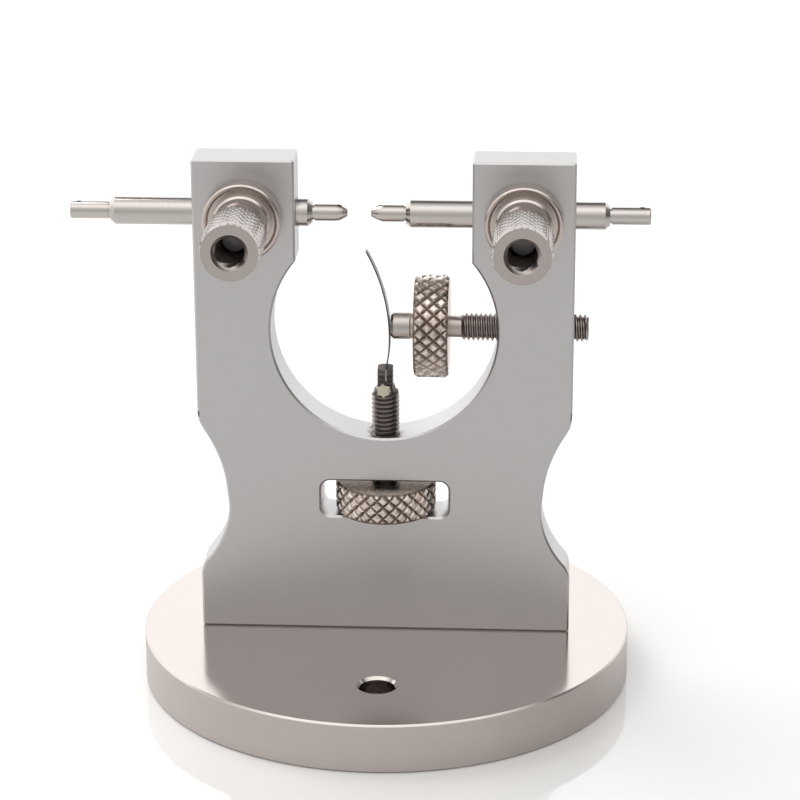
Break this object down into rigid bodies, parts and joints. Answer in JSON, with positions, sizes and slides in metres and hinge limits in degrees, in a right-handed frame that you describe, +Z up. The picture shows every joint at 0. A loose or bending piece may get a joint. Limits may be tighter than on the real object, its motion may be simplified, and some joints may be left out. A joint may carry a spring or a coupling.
{
  "type": "balance truing caliper",
  "caption": "Bench stand of steel that holds a small balance between two sliding spindles, with knurled clamps, a lifting spring feeler and a side screw.",
  "frame": {"origin": "centre of the round base's underside", "axes": "+X along the spindles to the viewer's right, +Y away from the clamp nuts, +Z up"},
  "size_m": [0.0609, 0.053, 0.058],
  "materials": {
    "base_steel": "ground and brushed stainless steel",
    "plate_satin": "fine satin",
    "turned_steel": "turned and polished",
    "knurled_steel": "diamond knurl, bright",
    "spindle_steel": "polished",
    "screw_steel": "dark, threaded",
    "spring_steel": "polished spring steel",
    "pin_brass": "bright"
  },
  "bodies": {
    "stand": {"base": "base_steel", "left_base_screw": "screw_steel", "right_base_screw": "screw_steel", "plate": "plate_satin", "key_screw": "screw_steel", "left_collar": "turned_steel", "right_collar": "turned_steel", "left_washer": "turned_steel", "right_washer": "turned_steel"},
    "left_runner": {"left_spindle": "spindle_steel"},
    "right_runner": {"right_spindle": "spindle_steel"},
    "left_clamp": {"left_nut": "knurled_steel"},
    "left_drawer": {"left_bolt": "screw_steel"},
    "right_clamp": {"right_nut": "knurled_steel"},
    "right_drawer": {"right_bolt": "screw_steel"},
    "lifter": {"lift_wheel": "knurled_steel"},
    "stem": {"feeler_screw": "screw_steel", "feeler_pin": "pin_brass"},
    "feeler": {"feeler_blade": "spring_steel"},
    "nose": {"adjuster_nose": "turned_steel"},
    "adjuster": {"adjuster_screw": "screw_steel", "adjuster_wheel": "knurled_steel"}
  },
  "joints": [
    {"name": "left_spindle_slide", "type": "slide", "parent": "stand", "child": "left_runner", "axis": [1, 0, 0], "range_m": [-0.006, 0.0011]},
    {"name": "right_spindle_slide", "type": "slide", "parent": "stand", "child": "right_runner", "axis": [-1, 0, 0], "range_m": [-0.006, 0.0011]},
    {"name": "left_nut_turn", "type": "hinge", "parent": "stand", "child": "left_clamp", "pos_m": [-0.01463, -0.008, 0.0518], "axis": [0, -1, 0], "range_deg": [0, 120]},
    {"name": "left_bolt_draw", "type": "slide", "parent": "stand", "child": "left_drawer", "axis": [0, 1, 0], "range_m": [0, 0.0001666]},
    {"name": "right_nut_turn", "type": "hinge", "parent": "stand", "child": "right_clamp", "pos_m": [0.01463, -0.008, 0.0518], "axis": [0, -1, 0], "range_deg": [0, 120]},
    {"name": "right_bolt_draw", "type": "slide", "parent": "stand", "child": "right_drawer", "axis": [0, 1, 0], "range_m": [0, 0.0001666]},
    {"name": "lift_turn", "type": "hinge", "parent": "stand", "child": "lifter", "pos_m": [0, 0, 0.02], "axis": [0, 0, 1], "range_deg": [-1440, 2160]},
    {"name": "feeler_lift", "type": "slide", "parent": "stand", "child": "stem", "axis": [0, 0, -1], "range_m": [-0.002, 0.003]},
    {"name": "blade_bend", "type": "hinge", "parent": "stem", "child": "feeler", "pos_m": [0.0001, 0, 0.0348], "axis": [0, -1, 0], "range_deg": [-3.95, 11.75], "deforming": ["feeler_blade"]},
    {"name": "adjuster_travel", "type": "slide", "parent": "stand", "child": "nose", "axis": [-1, 0, 0], "range_m": [-0.00025, 0.00075]},
    {"name": "adjuster_turn", "type": "hinge", "parent": "nose", "child": "adjuster", "pos_m": [0.005, 0, 0.03945], "axis": [-1, 0, 0], "range_deg": [-180, 540]}
  ],
  "couplings": [
    {"joint": "left_nut_turn", "follows": "left_bolt_draw", "rad_per_m": 12566},
    {"joint": "right_nut_turn", "follows": "right_bolt_draw", "rad_per_m": 12566},
    {"joint": "lift_turn", "follows": "feeler_lift", "rad_per_m": 12566},
    {"joint": "adjuster_turn", "follows": "adjuster_travel", "rad_per_m": 12566},
    {"joint": "blade_bend", "follows": "adjuster_travel", "rad_per_m": 270.27}
  ]
}
